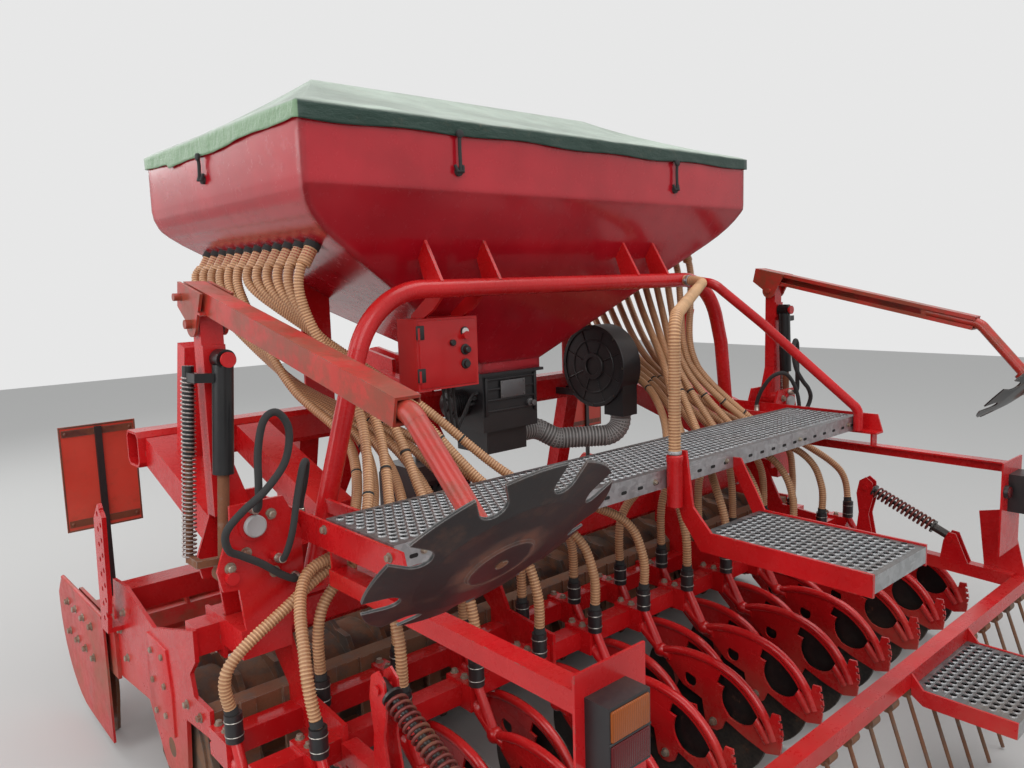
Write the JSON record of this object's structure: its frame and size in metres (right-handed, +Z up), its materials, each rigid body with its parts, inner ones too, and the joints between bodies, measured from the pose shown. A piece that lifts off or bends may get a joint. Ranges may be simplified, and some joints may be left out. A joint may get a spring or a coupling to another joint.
{
  "type": "mounted seed drill",
  "caption": "Mounted pneumatic seed drill on a power harrow with packer roller, disc coulters, hopper, walkway and folding row markers.",
  "frame": {"origin": "middle of the machine's footprint on the ground: the bottom centre of its bounding box at rest", "axes": "+X to the right seen in the driving direction, +Y forwards to the tractor, +Z up"},
  "size_m": [3.2098, 3.1, 2.365],
  "materials": {
    "red_paint": "worn semi-gloss enamel, dusty",
    "black_paint": "semi-gloss black enamel",
    "worn_steel": "dark steel, polished by soil at the edges",
    "green_tarp": "coated tarpaulin",
    "galvanised": "galvanised sheet",
    "tan_hose": "ribbed seed hose",
    "black_rubber": "smooth rubber hose and cable",
    "lamp_plastic": "moulded housing",
    "board_red": "reflective board"
  },
  "bodies": {
    "machine": {"harrow_trough": "red_paint", "harrow_side_left": "red_paint", "harrow_side_right": "red_paint", "gearbox": "black_paint", "headstock": "red_paint", "roller_frame": "red_paint", "scrapers": "red_paint", "drill_frame": "red_paint", "arch_frame": "red_paint", "hopper": "red_paint", "hopper_cover": "green_tarp", "metering_unit": "black_paint", "fan": "black_paint", "air_duct": "tan_hose", "control_box": "red_paint", "hoses_left": "tan_hose", "hoses_right": "tan_hose", "walkway": "galvanised", "lower_step": "galvanised", "handrail": "red_paint", "air_hose": "tan_hose", "coulters_front": "red_paint", "coulters_rear": "red_paint", "covering_harrow": "red_paint", "rear_step": "galvanised", "lamp_bar_left": "red_paint", "lamp_bar_right": "red_paint", "rear_lamps": "lamp_plastic", "warning_boards": "board_red", "cables": "black_rubber", "marker_hose_left": "black_rubber", "marker_hose_right": "black_rubber"},
    "rotor_01": {"rotor_01": "worn_steel"},
    "rotor_02": {"rotor_02": "worn_steel"},
    "rotor_03": {"rotor_03": "worn_steel"},
    "rotor_04": {"rotor_04": "worn_steel"},
    "rotor_05": {"rotor_05": "worn_steel"},
    "rotor_06": {"rotor_06": "worn_steel"},
    "rotor_07": {"rotor_07": "worn_steel"},
    "rotor_08": {"rotor_08": "worn_steel"},
    "rotor_09": {"rotor_09": "worn_steel"},
    "rotor_10": {"rotor_10": "worn_steel"},
    "rotor_11": {"rotor_11": "worn_steel"},
    "rotor_12": {"rotor_12": "worn_steel"},
    "packer_roller": {"packer_roller": "worn_steel"},
    "control_box_door": {"control_box_door": "red_paint"},
    "discs_front": {"discs_front": "worn_steel"},
    "discs_rear": {"discs_rear": "worn_steel"},
    "marker_post_left": {"marker_post_left": "red_paint"},
    "marker_arm_left": {"marker_arm_left": "red_paint"},
    "marker_disc_left": {"marker_disc_left": "worn_steel"},
    "marker_barrel_left": {"marker_barrel_left": "black_paint"},
    "marker_rod_left": {"marker_rod_left": "galvanised"},
    "marker_post_right": {"marker_post_right": "red_paint"},
    "marker_arm_right": {"marker_arm_right": "red_paint"},
    "marker_disc_right": {"marker_disc_right": "worn_steel"},
    "marker_barrel_right": {"marker_barrel_right": "black_paint"},
    "marker_rod_right": {"marker_rod_right": "galvanised"}
  },
  "joints": [
    {"name": "roller_spin", "type": "hinge", "parent": "machine", "child": "packer_roller", "pos_m": [0, 0.21, 0.25], "axis": [1, 0, 0], "continuous": true},
    {"name": "discs_front_spin", "type": "hinge", "parent": "machine", "child": "discs_front", "pos_m": [0, -0.55, 0.175], "axis": [1, 0, 0], "continuous": true},
    {"name": "discs_rear_spin", "type": "hinge", "parent": "machine", "child": "discs_rear", "pos_m": [0, -0.765, 0.175], "axis": [1, 0, 0], "continuous": true},
    {"name": "rotor_01_spin", "type": "hinge", "parent": "machine", "child": "rotor_01", "pos_m": [-1.375, 0.95, 0.25], "axis": [0, 0, 1], "continuous": true},
    {"name": "rotor_02_spin", "type": "hinge", "parent": "machine", "child": "rotor_02", "pos_m": [-1.125, 0.95, 0.25], "axis": [0, 0, 1], "continuous": true},
    {"name": "rotor_03_spin", "type": "hinge", "parent": "machine", "child": "rotor_03", "pos_m": [-0.875, 0.95, 0.25], "axis": [0, 0, 1], "continuous": true},
    {"name": "rotor_04_spin", "type": "hinge", "parent": "machine", "child": "rotor_04", "pos_m": [-0.625, 0.95, 0.25], "axis": [0, 0, 1], "continuous": true},
    {"name": "rotor_05_spin", "type": "hinge", "parent": "machine", "child": "rotor_05", "pos_m": [-0.375, 0.95, 0.25], "axis": [0, 0, 1], "continuous": true},
    {"name": "rotor_06_spin", "type": "hinge", "parent": "machine", "child": "rotor_06", "pos_m": [-0.125, 0.95, 0.25], "axis": [0, 0, 1], "continuous": true},
    {"name": "rotor_07_spin", "type": "hinge", "parent": "machine", "child": "rotor_07", "pos_m": [0.125, 0.95, 0.25], "axis": [0, 0, 1], "continuous": true},
    {"name": "rotor_08_spin", "type": "hinge", "parent": "machine", "child": "rotor_08", "pos_m": [0.375, 0.95, 0.25], "axis": [0, 0, 1], "continuous": true},
    {"name": "rotor_09_spin", "type": "hinge", "parent": "machine", "child": "rotor_09", "pos_m": [0.625, 0.95, 0.25], "axis": [0, 0, 1], "continuous": true},
    {"name": "rotor_10_spin", "type": "hinge", "parent": "machine", "child": "rotor_10", "pos_m": [0.875, 0.95, 0.25], "axis": [0, 0, 1], "continuous": true},
    {"name": "rotor_11_spin", "type": "hinge", "parent": "machine", "child": "rotor_11", "pos_m": [1.125, 0.95, 0.25], "axis": [0, 0, 1], "continuous": true},
    {"name": "rotor_12_spin", "type": "hinge", "parent": "machine", "child": "rotor_12", "pos_m": [1.375, 0.95, 0.25], "axis": [0, 0, 1], "continuous": true},
    {"name": "control_box_hinge", "type": "hinge", "parent": "machine", "child": "control_box_door", "pos_m": [-0.645, 0.022, 1.378], "axis": [0, 0, -1], "range_deg": [0, 110]},
    {"name": "marker_fold_left", "type": "hinge", "parent": "machine", "child": "marker_post_left", "pos_m": [-1.35, -0.12, 1], "axis": [0, -1, 0], "range_deg": [0, 100]},
    {"name": "marker_unfold_left", "type": "hinge", "parent": "marker_post_left", "child": "marker_arm_left", "pos_m": [-1.388, -0.087, 1.532], "axis": [-1, 0, 0], "range_deg": [0, 102.7]},
    {"name": "marker_disc_spin_left", "type": "hinge", "parent": "marker_arm_left", "child": "marker_disc_left", "pos_m": [-1.37, -1.22, 1.165], "axis": [0, 0.7071, 0.7071], "continuous": true},
    {"name": "marker_cylinder_swing_left", "type": "hinge", "parent": "marker_post_left", "child": "marker_barrel_left", "pos_m": [-1.38, -0.15, 1.44], "axis": [0, -1, 0], "range_deg": [-14, 4]},
    {"name": "marker_cylinder_stroke_left", "type": "slide", "parent": "marker_barrel_left", "child": "marker_rod_left", "axis": [0.0706, 0, 0.9975], "range_m": [0, 0.215]},
    {"name": "marker_fold_right", "type": "hinge", "parent": "machine", "child": "marker_post_right", "pos_m": [1.35, -0.12, 1], "axis": [0, 1, 0], "range_deg": [0, 100]},
    {"name": "marker_unfold_right", "type": "hinge", "parent": "marker_post_right", "child": "marker_arm_right", "pos_m": [1.388, -0.087, 1.532], "axis": [-1, 0, 0], "range_deg": [0, 102.7]},
    {"name": "marker_disc_spin_right", "type": "hinge", "parent": "marker_arm_right", "child": "marker_disc_right", "pos_m": [1.37, -1.22, 1.165], "axis": [0, 0.7071, 0.7071], "continuous": true},
    {"name": "marker_cylinder_swing_right", "type": "hinge", "parent": "marker_post_right", "child": "marker_barrel_right", "pos_m": [1.38, -0.15, 1.44], "axis": [0, 1, 0], "range_deg": [-14, 4]},
    {"name": "marker_cylinder_stroke_right", "type": "slide", "parent": "marker_barrel_right", "child": "marker_rod_right", "axis": [-0.0706, 0, 0.9975], "range_m": [0, 0.215]}
  ],
  "couplings": [
    {"joint": "rotor_02_spin", "follows": "rotor_01_spin", "ratio": -1},
    {"joint": "rotor_03_spin", "follows": "rotor_01_spin", "ratio": 1},
    {"joint": "rotor_04_spin", "follows": "rotor_01_spin", "ratio": -1},
    {"joint": "rotor_05_spin", "follows": "rotor_01_spin", "ratio": 1},
    {"joint": "rotor_06_spin", "follows": "rotor_01_spin", "ratio": -1},
    {"joint": "rotor_07_spin", "follows": "rotor_01_spin", "ratio": 1},
    {"joint": "rotor_08_spin", "follows": "rotor_01_spin", "ratio": -1},
    {"joint": "rotor_09_spin", "follows": "rotor_01_spin", "ratio": 1},
    {"joint": "rotor_10_spin", "follows": "rotor_01_spin", "ratio": -1},
    {"joint": "rotor_11_spin", "follows": "rotor_01_spin", "ratio": 1},
    {"joint": "rotor_12_spin", "follows": "rotor_01_spin", "ratio": -1},
    {"joint": "marker_cylinder_swing_left", "follows": "marker_fold_left", "ratio": -0.105},
    {"joint": "marker_cylinder_stroke_left", "follows": "marker_fold_left", "m_per_rad": 0.1195},
    {"joint": "marker_cylinder_swing_right", "follows": "marker_fold_right", "ratio": -0.105},
    {"joint": "marker_cylinder_stroke_right", "follows": "marker_fold_right", "m_per_rad": 0.1195}
  ]
}
